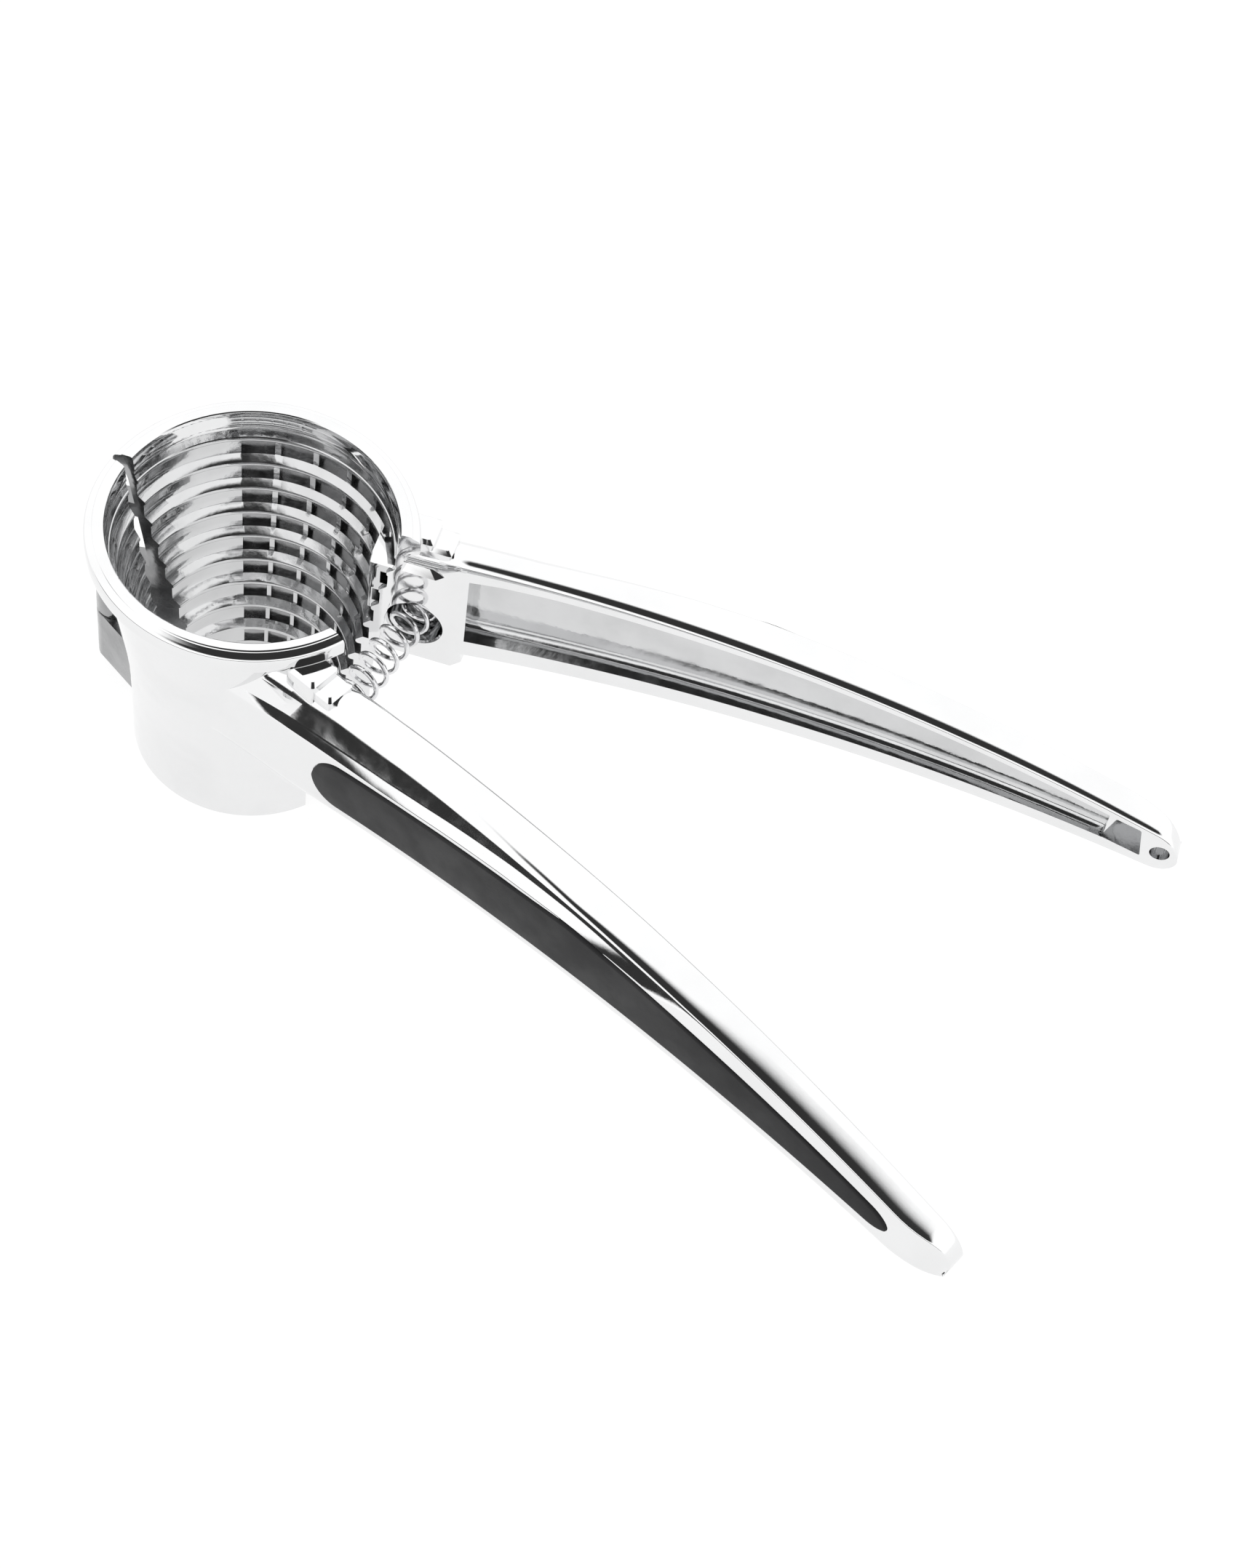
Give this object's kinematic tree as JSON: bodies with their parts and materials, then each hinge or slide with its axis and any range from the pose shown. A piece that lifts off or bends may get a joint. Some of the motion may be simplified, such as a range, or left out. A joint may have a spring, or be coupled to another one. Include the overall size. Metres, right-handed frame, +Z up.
{
  "type": "funnel nut cracker",
  "caption": "Hand-held nut cracker: a ribbed funnel split into two hinged halves, each with a long curved handle, held open by a coil spring.",
  "frame": {"origin": "middle of the open tool's bounding box, level with the funnel's foot", "axes": "+Z up the funnel towards its wide mouth, +X from the hinge towards the handle tips, +Y towards the rear half"},
  "size_m": [0.2041, 0.106, 0.06],
  "materials": {
    "chrome_plate": "polished chrome plate on a zinc casting",
    "black_rubber": "matte moulded rubber",
    "pin_steel": "plain steel pin",
    "spring_steel": "bright spring wire"
  },
  "bodies": {
    "rear": {"rear_half": "chrome_plate", "rear_grip": "black_rubber", "hinge_pin": "pin_steel", "return_spring": "spring_steel"},
    "front": {"front_half": "chrome_plate", "front_grip": "black_rubber"}
  },
  "joints": [
    {"name": "hinge", "type": "hinge", "parent": "rear", "child": "front", "pos_m": [-0.09808, 0, 0.024], "axis": [0, 0, 1], "range_deg": [0, 25], "stiffness_Nm_per_rad": 1.2, "springref_deg": -6.88, "deforming": ["return_spring"]}
  ]
}
